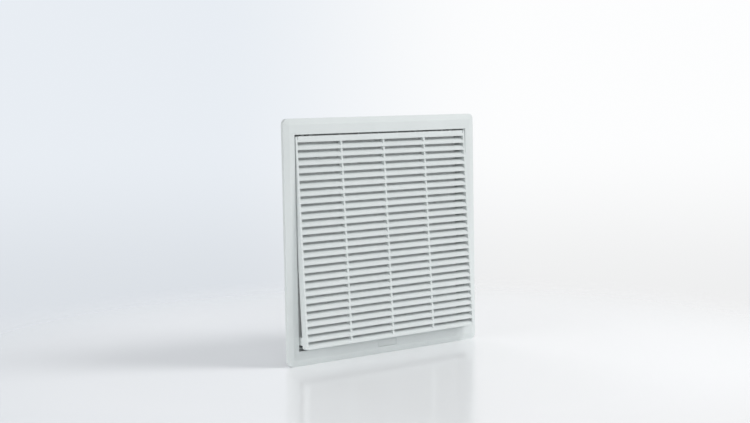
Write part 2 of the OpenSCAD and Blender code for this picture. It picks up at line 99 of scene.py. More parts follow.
def nodeIn(tree, kind, **values):
    # Each value goes to the node's own setting of that name, or else to its input
    node = tree.nodes.new(kind)
    for name, value in values.items():
        if hasattr(node, name):
            setattr(node, name, value)
        else:
            node.inputs[name.replace("_", " ")].default_value = value
    return node


def wireAll(tree, pairs):
    for start, end in pairs:
        tree.links.new(start, end)


def smoothRange(tree, value, ends, low=0.0):
    # Runs smoothly from low to one while the value goes from end to end
    grade = nodeIn(tree, "ShaderNodeMapRange", interpolation_type="SMOOTHSTEP",
                   From_Min=ends[0], From_Max=ends[1], To_Min=low)
    tree.links.new(value, grade.inputs["Value"])
    return grade.outputs["Result"]


def newMaterial(name, **sockets):
    material = bpy.data.materials.new(name)
    material.use_nodes = True
    shader = material.node_tree.nodes["Principled BSDF"]
    for socket, value in sockets.items():
        shader.inputs[socket.replace("_", " ")].default_value = value
    return material, shader


def addNode(material, kind, **values):
    return nodeIn(material.node_tree, kind, **values)


def wire(material, start, end):
    material.node_tree.links.new(start, end)


def objectCoords(material, stretch=(1, 1, 1)):
    coords = addNode(material, "ShaderNodeTexCoord")
    mapping = addNode(material, "ShaderNodeMapping", Scale=stretch)
    wire(material, coords.outputs["Object"], mapping.inputs["Vector"])
    return mapping.outputs["Vector"]


def noiseOf(material, coords, scale, detail=3.0, roughness=0.5):
    texture = addNode(material, "ShaderNodeTexNoise", Scale=scale, Detail=detail, Roughness=roughness)
    wire(material, coords, texture.inputs["Vector"])
    return texture.outputs["Fac"]


# Nearly all values of a noise lie in this range
noiseMiddle = (0.35, 0.65)


def ramp(material, value, low, high):
    spread = addNode(material, "ShaderNodeMapRange", From_Min=noiseMiddle[0], From_Max=noiseMiddle[1],
                     To_Min=low, To_Max=high)
    wire(material, value, spread.inputs["Value"])
    return spread.outputs["Result"]


def twoTones(material, shader, value, first, second):
    mix = addNode(material, "ShaderNodeMix", data_type="RGBA", A=(*first, 1), B=(*second, 1))
    wire(material, ramp(material, value, 0, 1), mix.inputs["Factor"])
    wire(material, mix.outputs["Result"], shader.inputs["Base Color"])


def bumps(material, shader, layers):
    # Each layer is (height, strength, distance in metres); they add up in order
    before = None
    for height, strength, distance in layers:
        bump = addNode(material, "ShaderNodeBump", Strength=strength, Distance=distance)
        wire(material, height, bump.inputs["Height"])
        if before is not None:
            wire(material, before, bump.inputs["Normal"])
        before = bump.outputs["Normal"]
    wire(material, before, shader.inputs["Normal"])


# Moulded light grey plastic with a fine spark-eroded texture
plastic = {
    "light": (0.725, 0.762, 0.757),
    "shade": (0.70, 0.737, 0.732),
    "shine": 0.42,
    "gloss": (0.34, 0.44),
    "patch": 70,
    "flow": 14,
    "flowStretch": (1, 1, 0.35),
    "flowBump": (0.04, 0.4 * mm),
    "grain": 2400,
    "grainBump": (0.10, 0.04 * mm),
    "pawlDarker": 0.93,
}


def mouldedPlastic(name, s, darker=1.0):
    material, shader = newMaterial(name, Specular_IOR_Level=s["shine"])
    coords = objectCoords(material)
    flow = noiseOf(material, objectCoords(material, s["flowStretch"]), s["flow"], detail=4)
    grain = noiseOf(material, coords, s["grain"], detail=2, roughness=0.6)
    patch = noiseOf(material, coords, s["patch"])
    light, shade = ([c * darker for c in s[tone]] for tone in ("light", "shade"))
    twoTones(material, shader, flow, light, shade)
    wire(material, ramp(material, patch, *s["gloss"]), shader.inputs["Roughness"])
    bumps(material, shader, [(flow, *s["flowBump"]), (grain, *s["grainBump"])])
    return material


# Rolled stainless strip and ground wire
steel = {
    "light": (0.66, 0.66, 0.65),
    "shade": (0.50, 0.50, 0.49),
    "gloss": (0.22, 0.36),
    "cloud": 260,
    "line": 1800,
    "lineBump": (0.12, 0.02 * mm),
    "alongStrip": (0.05, 1, 1),
    "roundPin": (1, 0.1, 0.1),
}


def rolledSteel(name, s, stretch):
    material, shader = newMaterial(name, Metallic=1.0)
    lines = noiseOf(material, objectCoords(material, stretch), s["line"], detail=4, roughness=0.6)
    cloud = noiseOf(material, objectCoords(material), s["cloud"])
    twoTones(material, shader, cloud, s["light"], s["shade"])
    wire(material, ramp(material, lines, *s["gloss"]), shader.inputs["Roughness"])
    bumps(material, shader, [(lines, *s["lineBump"])])
    return material


# Bonded polyester fleece
fleece = {
    "light": (0.74, 0.75, 0.75),
    "shade": (0.66, 0.67, 0.67),
    "rough": 0.92,
    "sheen": 0.35,
    "sheenRough": 0.5,
    "lump": 90,
    "lumpBump": (0.5, 0.8 * mm),
    "fibre": 900,
    "fibreBump": (0.55, 0.25 * mm),
    "lays": ((1, 1, 0.12), (0.12, 1, 1), (0.5, 1, 0.2)),
}


def bondedFleece(name, s):
    material, shader = newMaterial(name, Roughness=s["rough"], Sheen_Weight=s["sheen"],
                                   Sheen_Roughness=s["sheenRough"])
    lumps = noiseOf(material, objectCoords(material), s["lump"], detail=5, roughness=0.6)
    layers = [(lumps, *s["lumpBump"])]
    for stretch in s["lays"]:
        fibres = noiseOf(material, objectCoords(material, stretch), s["fibre"], roughness=0.7)
        layers.append((fibres, *s["fibreBump"]))
    twoTones(material, shader, lumps, s["light"], s["shade"])
    bumps(material, shader, layers)
    return material


# Foamed sealing bead
foam = {
    "light": (0.050, 0.051, 0.054),
    "shade": (0.028, 0.028, 0.030),
    "rough": 0.82,
    "shine": 0.3,
    "cloud": 120,
    "cloudBump": (0.3, 0.5 * mm),
    "cell": 1500,
    "cellBump": (0.5, 0.15 * mm),
}


def sealingFoam(name, s):
    material, shader = newMaterial(name, Roughness=s["rough"], Specular_IOR_Level=s["shine"])
    coords = objectCoords(material)
    cells = addNode(material, "ShaderNodeTexVoronoi", Scale=s["cell"])
    wire(material, coords, cells.inputs["Vector"])
    cloud = noiseOf(material, coords, s["cloud"])
    twoTones(material, shader, cloud, s["light"], s["shade"])
    bumps(material, shader, [(cloud, *s["cloudBump"]), (cells.outputs["Distance"], *s["cellBump"])])
    return material


housingPlastic = mouldedPlastic("housingPlastic", plastic)
pawlPlastic = mouldedPlastic("pawlPlastic", plastic, plastic["pawlDarker"])
stripSteel = rolledSteel("stripSteel", steel, steel["alongStrip"])
pinSteel = rolledSteel("pinSteel", steel, steel["roundPin"])
matFleece = bondedFleece("matFleece", fleece)
sealFoam = sealingFoam("sealFoam", foam)
print("materials made")


# Mesh helpers

def makePiece(name, bm, material, sharpAngle=35):
    mesh = bpy.data.meshes.new(name)
    bm.normal_update()
    bm.to_mesh(mesh)
    bm.free()
    piece = bpy.data.objects.new(name, mesh)
    bpy.context.scene.collection.objects.link(piece)
    finishMesh(piece, material, sharpAngle)
    return piece


def finishMesh(piece, material, sharpAngle=35):
    piece.data.materials.clear()
    piece.data.materials.append(material)
    piece.data.polygons.foreach_set("use_smooth", [True] * len(piece.data.polygons))
    piece.data.set_sharp_from_angle(angle=math.radians(sharpAngle))


def bake(piece):
    # The evaluated mesh takes the place of the modifiers that made it
    graph = bpy.context.evaluated_depsgraph_get()
    mesh = bpy.data.meshes.new_from_object(piece.evaluated_get(graph))
    piece.modifiers.clear()
    piece.data = mesh
    return piece


def drop(piece):
    bpy.data.objects.remove(piece)


def roundEdges(piece, width):
    # Rounds the edges that carry a bevel weight
    bevel = piece.modifiers.new("roundEdges", "BEVEL")
    bevel.width = width
    bevel.segments = 3
    bevel.limit_method = "WEIGHT"
    bevel.use_clamp_overlap = True
    bevel.harden_normals = True
    return bake(piece)


def evenShading(piece):
    # Large flat faces keep their own direction beside a rounded edge
    weighted = piece.modifiers.new("evenShading", "WEIGHTED_NORMAL")
    weighted.keep_sharp = True
    weighted.weight = 100
    return bake(piece)


def ringLoop(bm, ring, cornerSteps):
    # ring is (left, right, bottom, top, corner radius, depth)
    left, right, bottom, top, radius, depth = ring
    points = []
    corners = ((right, top, 0), (left, top, 90), (left, bottom, 180), (right, bottom, 270))
    for x, z, start in corners:
        cx = x - math.copysign(radius, x - (left + right) / 2)
        cz = z - math.copysign(radius, z - (bottom + top) / 2)
        for i in range(cornerSteps + 1):
            a = math.radians(start + 90 * i / cornerSteps)
            points.append((cx + radius * math.cos(a), depth, cz + radius * math.sin(a)))
    return [bm.verts.new(p) for p in points]


def loftRings(rings, cornerSteps=8):
    # Skins a row of rounded rectangles and joins the last one to the first
    bm = bmesh.new()
    loops = [ringLoop(bm, ring, cornerSteps) for ring in rings]
    for a, b in zip(loops, loops[1:] + loops[:1]):
        for i in range(len(a)):
            j = (i + 1) % len(a)
            bm.faces.new((a[i], a[j], b[j], b[i]))
    bmesh.ops.recalc_face_normals(bm, faces=bm.faces)
    return bm


def addBox(bm, low, high):
    verts = [bm.verts.new((x, y, z)) for x in (low[0], high[0])
             for y in (low[1], high[1]) for z in (low[2], high[2])]
    for quad in ((0, 1, 3, 2), (4, 6, 7, 5), (0, 4, 5, 1), (2, 3, 7, 6), (0, 2, 6, 4), (1, 5, 7, 3)):
        bm.faces.new([verts[i] for i in quad])


def addPrism(bm, outline, start, end, axis):
    # outline holds pairs in the plane across axis, Y or Z, the direction it is drawn out along
    def corner(a, b, t):
        return (a, t, b) if axis == "Y" else (a, b, t)

    near = [bm.verts.new(corner(a, b, start)) for a, b in outline]
    far = [bm.verts.new(corner(a, b, end)) for a, b in outline]
    for i in range(len(outline)):
        j = (i + 1) % len(outline)
        bm.faces.new((near[i], near[j], far[j], far[i]))
    bm.faces.new(list(reversed(near)))
    bm.faces.new(far)
    bmesh.ops.recalc_face_normals(bm, faces=bm.faces)


def cutAway(piece, cutters):
    for cutter in cutters:
        cut = piece.modifiers.new("cut", "BOOLEAN")
        cut.operation = "DIFFERENCE"
        cut.solver = "EXACT"
        cut.object = cutter
    bake(piece)
    for cutter in cutters:
        drop(cutter)
    return piece


def boxCutter(low, high):
    bm = bmesh.new()
    addBox(bm, low, high)
    bmesh.ops.recalc_face_normals(bm, faces=bm.faces)
    return makePiece("cutter", bm, housingPlastic)


def joinInto(name, pieces):
    merged = bmesh.new()
    for piece in pieces:
        merged.from_mesh(piece.data)
    material = pieces[0].data.materials[0]
    for piece in pieces:
        drop(piece)
    return makePiece(name, merged, material)


# Geometry node trees

def newTree(name, kinds):
    # kinds gives the type of each input beside the geometry
    tree = bpy.data.node_groups.new(name, "GeometryNodeTree")
    geometry = "NodeSocketGeometry"
    tree.interface.new_socket("Geometry", in_out="INPUT", socket_type=geometry)
    for socket, kind in kinds.items():
        tree.interface.new_socket(socket, in_out="INPUT", socket_type="NodeSocket" + kind)
    tree.interface.new_socket("Geometry", in_out="OUTPUT", socket_type=geometry)
    return tree


def runTree(name, tree, material, sharpAngle=35, **inputs):
    # A piece that holds what the tree makes of the inputs
    piece = bpy.data.objects.new(name, bpy.data.meshes.new(name))
    bpy.context.scene.collection.objects.link(piece)
    modifier = piece.modifiers.new(name, "NODES")
    modifier.node_group = tree
    ids = {s.name: s.identifier for s in tree.interface.items_tree if s.in_out == "INPUT"}
    for key, value in dict(Material=material, **inputs).items():
        modifier[ids[key]] = value
    finishMesh(bake(piece), material, sharpAngle)
    return piece


def rowTree():
    # Draws a section out along X, centred, and repeats it in an even row
    tree = newTree("sectionRow", {
        "Section": "Object", "Length": "Float", "Count": "Int", "Start": "Vector",
        "Step": "Vector", "Turn": "Vector", "Material": "Material",
    })
    given = nodeIn(tree, "NodeGroupInput")
    section = nodeIn(tree, "GeometryNodeObjectInfo", transform_space="ORIGINAL")
    reach = nodeIn(tree, "ShaderNodeCombineXYZ")
    draw = nodeIn(tree, "GeometryNodeExtrudeMesh", Individual=False)
    flip = nodeIn(tree, "GeometryNodeFlipFaces")
    closed = nodeIn(tree, "GeometryNodeJoinGeometry")
    weld = nodeIn(tree, "GeometryNodeMergeByDistance")
    half = nodeIn(tree, "ShaderNodeVectorMath", operation="SCALE", Scale=-0.5)
    centre = nodeIn(tree, "GeometryNodeTransform")
    line = nodeIn(tree, "GeometryNodeMeshLine", mode="OFFSET")
    spread = nodeIn(tree, "GeometryNodeInstanceOnPoints")
    real = nodeIn(tree, "GeometryNodeRealizeInstances")
    paint = nodeIn(tree, "GeometryNodeSetMaterial")
    out = nodeIn(tree, "NodeGroupOutput")
    wireAll(tree, (
        (given.outputs["Section"], section.inputs["Object"]),
        (given.outputs["Length"], reach.inputs["X"]),
        (section.outputs["Geometry"], draw.inputs["Mesh"]),
        (reach.outputs["Vector"], draw.inputs["Offset"]),
        (section.outputs["Geometry"], flip.inputs["Mesh"]),
        (draw.outputs["Mesh"], closed.inputs["Geometry"]),
        (flip.outputs["Mesh"], closed.inputs["Geometry"]),
        (closed.outputs["Geometry"], weld.inputs["Geometry"]),
        (weld.outputs["Geometry"], centre.inputs["Geometry"]),
        (reach.outputs["Vector"], half.inputs["Vector"]),
        (half.outputs["Vector"], centre.inputs["Translation"]),
        (given.outputs["Count"], line.inputs["Count"]),
        (given.outputs["Start"], line.inputs["Start Location"]),
        (given.outputs["Step"], line.inputs["Offset"]),
        (line.outputs["Mesh"], spread.inputs["Points"]),
        (centre.outputs["Geometry"], spread.inputs["Instance"]),
        (given.outputs["Turn"], spread.inputs["Rotation"]),
        (spread.outputs["Instances"], real.inputs["Geometry"]),
        (real.outputs["Geometry"], paint.inputs["Geometry"]),
        (given.outputs["Material"], paint.inputs["Material"]),
        (paint.outputs["Geometry"], out.inputs["Geometry"]),
    ))
    return tree


sectionRow = rowTree()


def repeatSection(name, outline, **inputs):
    # outline holds (depth, height) pairs in the YZ plane, going round once
    bm = bmesh.new()
    bm.faces.new([bm.verts.new((0, y, z)) for y, z in outline])
    bm.normal_update()
    if bm.faces[:][0].normal.x < 0:
        bmesh.ops.reverse_faces(bm, faces=bm.faces)
    section = makePiece(name + "Section", bm, housingPlastic)
    row = runTree(name, sectionRow, housingPlastic, Section=section, **inputs)
    drop(section)
    return row


def centredRow(axis, step, count, middle=(0, 0, 0)):
    # A row along X (0) or Z (2) with its middle on that axis's zero
    start, stride = Vector(middle), Vector()
    start[axis], stride[axis] = -step * (count - 1) / 2, step
    return {"Start": tuple(start), "Step": tuple(stride), "Count": count}


def quarterTurn(steps):
    # Angles from nought to ninety degrees, in radians
    return [math.radians(90 * k / steps) for k in range(steps + 1)]


# The louvred grille, drawn closed and then swung to where it stands ajar. Its slots are a
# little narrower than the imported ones, because the photograph shows finer dark lines.
hinge = next(j for j in frame["joints"] if j["name"] == "grille_hinge")
hingePoint = Vector(hinge["pos_m"])
ajar = math.radians(-hinge["range_deg"][0])
grilleSize = {
    "half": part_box("louvre_grille")[1].x,
    "front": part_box("front_frame")[0].y,
    "top": 136.9 * mm,
    "bottom": -137.5 * mm,
    "depth": 10 * mm,
    "topDepth": 7 * mm,
    "wall": 1.6 * mm,
    "sideBorder": 2.6 * mm,
    "topBorder": 7.6 * mm,
    "slitWide": 1 * mm,
    "slitTall": 4 * mm,
    "corner": 2.4 * mm,
    "innerCorner": 0.3 * mm,
    "edge": 0.45 * mm,
    "louvres": 27,
    "slot": 1.7 * mm,
    "louvreDepth": 7.2 * mm,
    "louvreThick": 1.7 * mm,
    "lip": 2.8 * mm,
    "fold": 2.6 * mm,
    "lipRound": 0.3 * mm,
    "swell": 0.55 * mm,
    "crest": ((0.35 * mm, 0.33 * mm), (0.12 * mm, 0.22 * mm), (0, 0.5 * mm)),
    "crestThick": 2 * mm,
    "ribs": 3,
    "ribStep": 0.5,
    "ribThick": 3 * mm,
    "ribRound": 0.5 * mm,
    "ribSetBack": 0.8 * mm,
    "ribDepth": 7.4 * mm,
    "ribHead": 1.8 * mm,
    "hingeX": 118.5 * mm,
    "hingeNotch": 9.4 * mm,
    "knuckle": 8 * mm,
    "knuckleRound": 2.4 * mm,
    "knuckleGap": 0.2 * mm,
    "bore": 1.31 * mm,
}
grilleSize["field"] = grilleSize["half"] - grilleSize["sideBorder"]
lugSize = {
    "low": -132.4 * mm,
    "high": -122.1 * mm,
    "back": 15.5 * mm,
    "root": 1 * mm,
    "notchFrom": 6.2 * mm,
    "notchTo": 10.8 * mm,
    "notch": 1 * mm,
    "round": 1 * mm,
    "chamfer": 0.4 * mm,
}


def wallRings(s):
    # Back to front inside, then round the outer front edge and back to the rear
    front, back = s["front"], s["front"] + s["depth"]
    field, half, edge = s["field"], s["half"], s["edge"]
    inner = (-field, field, s["bottom"] + s["wall"], s["top"] - s["wall"], s["innerCorner"])
    rings = [(*inner, back), (*inner, front)]
    for turn in quarterTurn(3):
        inset = edge * (1 - math.sin(turn))
        rings.append((inset - half, half - inset, s["bottom"] + inset, s["top"] - inset,
                      s["corner"] - inset, front + edge * (1 - math.cos(turn))))
    rings.append((-half, half, s["bottom"], s["top"], s["corner"], back))
    return rings


def grilleWalls(s):
    # The top wall is less deep than the others, open at the hinges and slit at its two ends
    walls = makePiece("grilleWalls", loftRings(wallRings(s)), housingPlastic)
    wall, top, field, front = s["wall"], s["top"], s["field"], s["front"]
    back = front + 2 * s["depth"]
    cutters = [boxCutter((-field, front + s["topDepth"], top - 2 * wall), (field, back, top + wall))]
    for side in (-1, 1):
        x = side * s["hingeX"]
        cutters.append(boxCutter((x - s["hingeNotch"], front + wall, top - 2 * wall),
                                 (x + s["hingeNotch"], back, top + wall)))
        ends = sorted((side * (field - s["slitWide"]), side * (field + hair)))
        cutters.append(boxCutter((ends[0], front - wall, top - s["slitTall"]),
                                 (ends[1], front + s["topDepth"] + wall, top + wall)))
    return cutAway(walls, cutters)


def louvreOutline(s, pitch):
    # (depth, height) from the lip's lower rear corner, round the lip, up the swelled face and
    # over the crest, whose points are given as distances ahead of and below its corner
    tall = pitch - s["slot"]
    r, deep, steps = s["lipRound"], s["louvreDepth"], 8
    points = [(s["louvreThick"], 0)]
    points += [(r - r * math.sin(a), r - r * math.cos(a)) for a in quarterTurn(4)]
    rise = tall - s["lip"]
    slope = math.hypot(deep, rise)
    for k in range(steps + 1):
        t = k / steps
        swell = 4 * t * (1 - t) * s["swell"]
        points.append((t * deep - swell * rise / slope, s["lip"] + t * rise + swell * deep / slope))
    x, z = points.pop()
    points += [(x - ahead, z - below) for ahead, below in s["crest"]]
    return points + [(deep, tall - s["crestThick"]), (s["louvreThick"], s["fold"])]


def barrel(bm, x, width, y, z, outer, inner, steps=32):
    # A tube along X
    loops = []
    for dx, r in ((-width / 2, outer), (width / 2, outer), (width / 2, inner), (-width / 2, inner)):
        loops.append([bm.verts.new((x + dx, y + r * math.cos(2 * math.pi * k / steps),
                                    z + r * math.sin(2 * math.pi * k / steps))) for k in range(steps)])
    for a, b in zip(loops, loops[1:] + loops[:1]):
        for k in range(steps):
            j = (k + 1) % steps
            bm.faces.new((a[k], a[j], b[j], b[k]))


def borderPlate(s):
    # (sideways, height) with a step beside each corner slit
    top = s["top"]
    low, step, high = top - s["topBorder"], top - s["slitTall"], top - s["wall"] + 5 * hair
    wide, narrow = s["field"], s["field"] - s["slitWide"]
    return [(-wide, low), (wide, low), (wide, step), (narrow, step),
            (narrow, high), (-narrow, high), (-narrow, step), (-wide, step)]


def lugOutline(s, lug):
    # (sideways, depth) of the right lug, from its root round the notched outside
    half, inner, outer = s["half"], s["field"], s["half"] - 2 * hair
    root, back, r = s["front"] + s["depth"] - lug["root"], lug["back"], lug["round"]
    return [
        (inner, root), (outer, root),
        (outer, lug["notchFrom"] - lug["notch"]), (half - lug["notch"], lug["notchFrom"]),
        (half - lug["notch"], lug["notchTo"]), (outer, lug["notchTo"]),
        (outer, back - r), (half - 0.25 * r, back - 0.45 * r), (half - r, back),
        (inner + lug["chamfer"], back), (inner + 2 * hair, back - lug["chamfer"]),
    ]


def grilleDetails(s):
    # Border plate over the louvres, knuckles on the pins, and latch lugs behind the side walls
    bm = bmesh.new()
    front, wall = s["front"], s["wall"]
    addPrism(bm, borderPlate(s), front + 2 * hair, front + wall, "Y")
    y, z = hingePoint.y, hingePoint.z
    wide, r = s["knuckle"] / 2 - 2 * hair, s["knuckleRound"]
    stemFront, stemBack = front + wall / 2, y - s["bore"] - s["knuckleGap"]
    lug = lugOutline(s, lugSize)
    for side in (-1, 1):
        x = side * s["hingeX"]
        barrel(bm, x, s["knuckle"], y, z, r, s["bore"])
        addBox(bm, (x - wide, stemFront, z - r), (x + wide, stemBack, z + r))
        addPrism(bm, [(side * a, b) for a, b in lug], lugSize["low"], lugSize["high"], "Z")
    bmesh.ops.recalc_face_normals(bm, faces=bm.faces)
    return makePiece("grilleDetails", bm, housingPlastic)


def buildGrille(s):
    pitch = (s["top"] - s["topBorder"] - s["bottom"]) / s["louvres"]
    louvres = repeatSection(
        "louvreRow", louvreOutline(s, pitch), Length=2 * s["field"] + 2 * hair, Count=s["louvres"],
        Start=(0, s["front"] + 3 * hair, s["bottom"]), Step=(0, 0, pitch))
    low, high, half, r = s["ribSetBack"], s["ribDepth"], s["ribThick"] / 2, s["ribRound"]
    rib = [(high, half), (high, -half),
           (low + r, -half), (low + 0.3 * r, r - half), (low, 2 * r - half),
           (low, half - 2 * r), (low + 0.3 * r, half - r), (low + r, half)]
    foot, head = s["bottom"] + s["wall"] / 2, s["top"] - s["ribHead"]
    ribs = repeatSection(
        "ribRow", rib, Length=head - foot, Turn=(0, -math.pi / 2, 0),
        **centredRow(0, s["ribStep"] * s["field"], s["ribs"], (0, s["front"], (head + foot) / 2)))
    grille = joinInto("louvreGrille", [grilleWalls(s), louvres, ribs, grilleDetails(s)])
    swing = Matrix.Rotation(-ajar, 4, "X")
    grille.data.transform(Matrix.Translation(hingePoint) @ swing @ Matrix.Translation(-hingePoint))
    return evenShading(grille)


louvreGrille = buildGrille(grilleSize)
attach(louvreGrille, "grille")
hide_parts("louvre_grille")
print("grille made:", len(louvreGrille.data.polygons), "faces")


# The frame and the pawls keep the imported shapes; a copy gets softened edges. Angles in
# degrees; only convex edges that are longer than frameLong or pawlLong are rounded.
softEdge = {
    "frame": 0.4 * mm,
    "frameLong": 34 * mm,
    "pawl": 0.18 * mm,
    "pawlLong": 1.5 * mm,
    "weld": 0.002 * mm,
    "flat": 0.6,
    "sharp": 10,
}

# Fine groove round the floor of the bare badge field; its corner has to exceed its width
badgeGroove = {
    "half": 16 * mm,
    "low": -150.6 * mm,
    "high": -141.2 * mm,
    "floor": 0.5 * mm,
    "inset": 0.45 * mm,
    "width": 0.6 * mm,
    "deep": 0.8 * mm,
    "corner": 0.8 * mm,
}


def grooveCutter(s):
    floor = grilleSize["front"] + s["floor"]
    under, over = floor - s["deep"], floor + s["deep"]
    outer, inner = s["inset"], s["inset"] + s["width"]
    rings = []
    for inset, y in ((inner, under), (outer, under), (outer, over), (inner, over)):
        rings.append((inset - s["half"], s["half"] - inset, s["low"] + inset, s["high"] - inset,
                      s["corner"] - inset + s["inset"], y))
    return makePiece("cutter", loftRings(rings, cornerSteps=3), housingPlastic)


def softenedCopy(name, node, width, longEnough, material, cutters=()):
    bm = bmesh.new()
    bm.from_mesh(frame["nodes"][node].data)
    bmesh.ops.remove_doubles(bm, verts=bm.verts, dist=softEdge["weld"])
    flat = math.radians(softEdge["flat"])
    bmesh.ops.dissolve_limit(bm, angle_limit=flat, verts=bm.verts, edges=bm.edges)
    weight = bm.edges.layers.float.new("bevel_weight_edge")
    for edge in bm.edges:
        if len(edge.link_faces) == 2 and edge.is_convex and edge.calc_length() > longEnough:
            if edge.calc_face_angle() > math.radians(softEdge["sharp"]):
                edge[weight] = 1.0
    piece = roundEdges(makePiece(name, bm, material), width)
    return evenShading(cutAway(piece, cutters) if cutters else piece)


frameShell = softenedCopy("frameShell", "front_frame", softEdge["frame"], softEdge["frameLong"],
                          housingPlastic, [grooveCutter(badgeGroove)])
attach(frameShell, "frame")
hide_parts("front_frame")
for level in ("upper", "lower"):
    for side in ("left", "right"):
        node = f"pawl_{level}_{side}"
        latch = softenedCopy(f"latch.{level}.{side}", node, softEdge["pawl"], softEdge["pawlLong"],
                             pawlPlastic)
        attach(latch, node)
        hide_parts(node)
print("frame and pawls made:", len(frameShell.data.polygons), "faces")


# Net behind the mat: thin bars both ways, a rim, stiffening ribs and snap tabs
netSize = {
    "front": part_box("rear_grid")[0].y,
    "thick": 2 * mm,
    "half": 142.3 * mm,
    "edge": 6 * mm,
    "round": 0.4 * mm,
    "corner": 1.4 * mm,
    "cells": 16,
    "bar": 1.8 * mm,
    "barRound": 0.45 * mm,
    "ribs": 3,
    "rib": 3 * mm,
    "ribRound": 0.5 * mm,
    "ribSetBack": 0.1 * mm,
    "ribDepth": 3 * mm,
    "sink": 0.5 * mm,
    "shy": 0.06 * mm,
    "tabs": 4,
    "tabStep": 0.5,
    "tabWidth": 8 * mm,
    "tabRoot": 1 * mm,
    "tabSlope": 0.8 * mm,
    "tabRise": 1.4 * mm,
    "endSpan": 64.6 * mm,
    "sideSpan": 105 * mm,
}


def barOutline(width, low, high, r):
    half = width / 2
    return [(high, half - r), (high - r, half), (low + r, half), (low, half - r),
            (low, r - half), (low + r, -half), (high - r, -half), (high, r - half)]


def netBars(s, reach):
    # The bars that lie across are a little thinner than the upright ones they run through
    step = (2 * reach + s["bar"]) / s["cells"]
    front, back = s["front"], s["front"] + s["thick"]
    long = 2 * (reach + s["sink"])
    parts = []
    for turn, axis, shy in (((0, -math.pi / 2, 0), 0, 0), ((0, 0, 0), 2, s["shy"])):
        bar = barOutline(s["bar"] - shy, front + shy, back - shy, s["barRound"])
        parts.append(repeatSection("netBars", bar, Length=long, Turn=turn,
                                   **centredRow(axis, step, s["cells"] - 1)))
        rib = barOutline(s["rib"] - shy, front + s["ribSetBack"] + shy, front + s["ribDepth"] - shy,
                         s["ribRound"])
        parts.append(repeatSection("netRibs", rib, Length=long + shy, Turn=turn,
                                   **centredRow(axis, 2 * reach / (s["ribs"] - 1), s["ribs"])))
    return parts


def netRim(s, reach):
    half, r, corner = s["half"], s["round"], s["corner"]
    front, back = s["front"], s["front"] + s["thick"]
    rings = []
    for x, bend, y in (
        (reach, r, back - r), (reach, r, front + r), (reach + r, 1.5 * r, front),
        (half - r, corner - r, front), (half, corner, front + r), (half, corner, back - r),
        (half - r, corner - r, back), (reach + r, 1.5 * r, back),
    ):
        rings.append((-x, x, -x, x, bend, y))
    return makePiece("netRim", loftRings(rings), housingPlastic)


def netTabs(s):
    front, back, half = s["front"], s["front"] + s["thick"] - s["round"], s["half"]
    root, rise = half - s["tabRoot"], half + s["tabRise"]
    tab = [(front, root), (front, half), (front + s["tabSlope"], rise), (back, rise), (back, root)]
    parts = []
    for quarter in range(4):
        axis, span = ((0, s["endSpan"]), (2, s["sideSpan"]))[quarter % 2]
        parts.append(repeatSection(
            "netTabs", tab, Length=s["tabWidth"], Turn=(0, quarter * math.pi / 2, 0),
            **centredRow(axis, s["tabStep"] * span, s["tabs"])))
    return parts


def buildNet(s):
    reach = s["half"] - s["edge"]
    return evenShading(joinInto("rearNet", netBars(s, reach) + [netRim(s, reach)] + netTabs(s)))


rearNet = buildNet(netSize)
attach(rearNet, "frame")
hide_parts("rear_grid")
print("net made:", len(rearNet.data.polygons), "faces")


# The fleece mat: a flat, slightly lumpy pad with worn-round edges and loose fibres. The
# values faceApart and pullPlane only choose where the noise is read.
matSize = {
    "round": 3.2 * mm,
    "cells": 150,
    "lump": 0.75 * mm,
    "lumpScale": 55,
    "octaves": 4,
    "pill": 0.22 * mm,
    "pillScale": 260,
    "faceApart": 10,
    "setBack": 0.9 * mm,
    "thinning": 0.62,
    "least": 0.8 * mm,
    "clear": 0.05 * mm,
    "pull": 0.0035,
    "pullScale": 40,
    "pullPlane": 3,
    "fibres": 4000,
    "fibreLength": 5.5 * mm,
    "fibreArch": 0.09,
    "fibreRadius": 0.045 * mm,
    "fibreTurn": 6.283,
    "fibreScale": (0.45, 1.25),
    "seed": 11,
}


def unitNoise(spot):
    # Noise between zero and one
    return 0.5 + 0.5 * noise.noise(spot)


def padThickness(s, half, x, z, face):
    # From the middle plane to one face, less near the worn-round edges
    r = s["round"]
    side = min(half.x - abs(x), half.z - abs(z))
    fall = r - math.sqrt(max(0.0, r * r - (r - side) ** 2)) if side < r else 0.0
    spot = Vector((x, face * s["faceApart"], z))
    lump = noise.fractal(spot * s["lumpScale"], 1.0, 2.0, s["octaves"]) * s["lump"]
    pill = noise.noise(spot * s["pillScale"]) * s["pill"]
    thick = half.y - s["setBack"] - s["thinning"] * fall * half.y / r
    thick += (lump + pill) * min(1.0, side / r)
    return max(s["least"], min(half.y - s["clear"], thick))


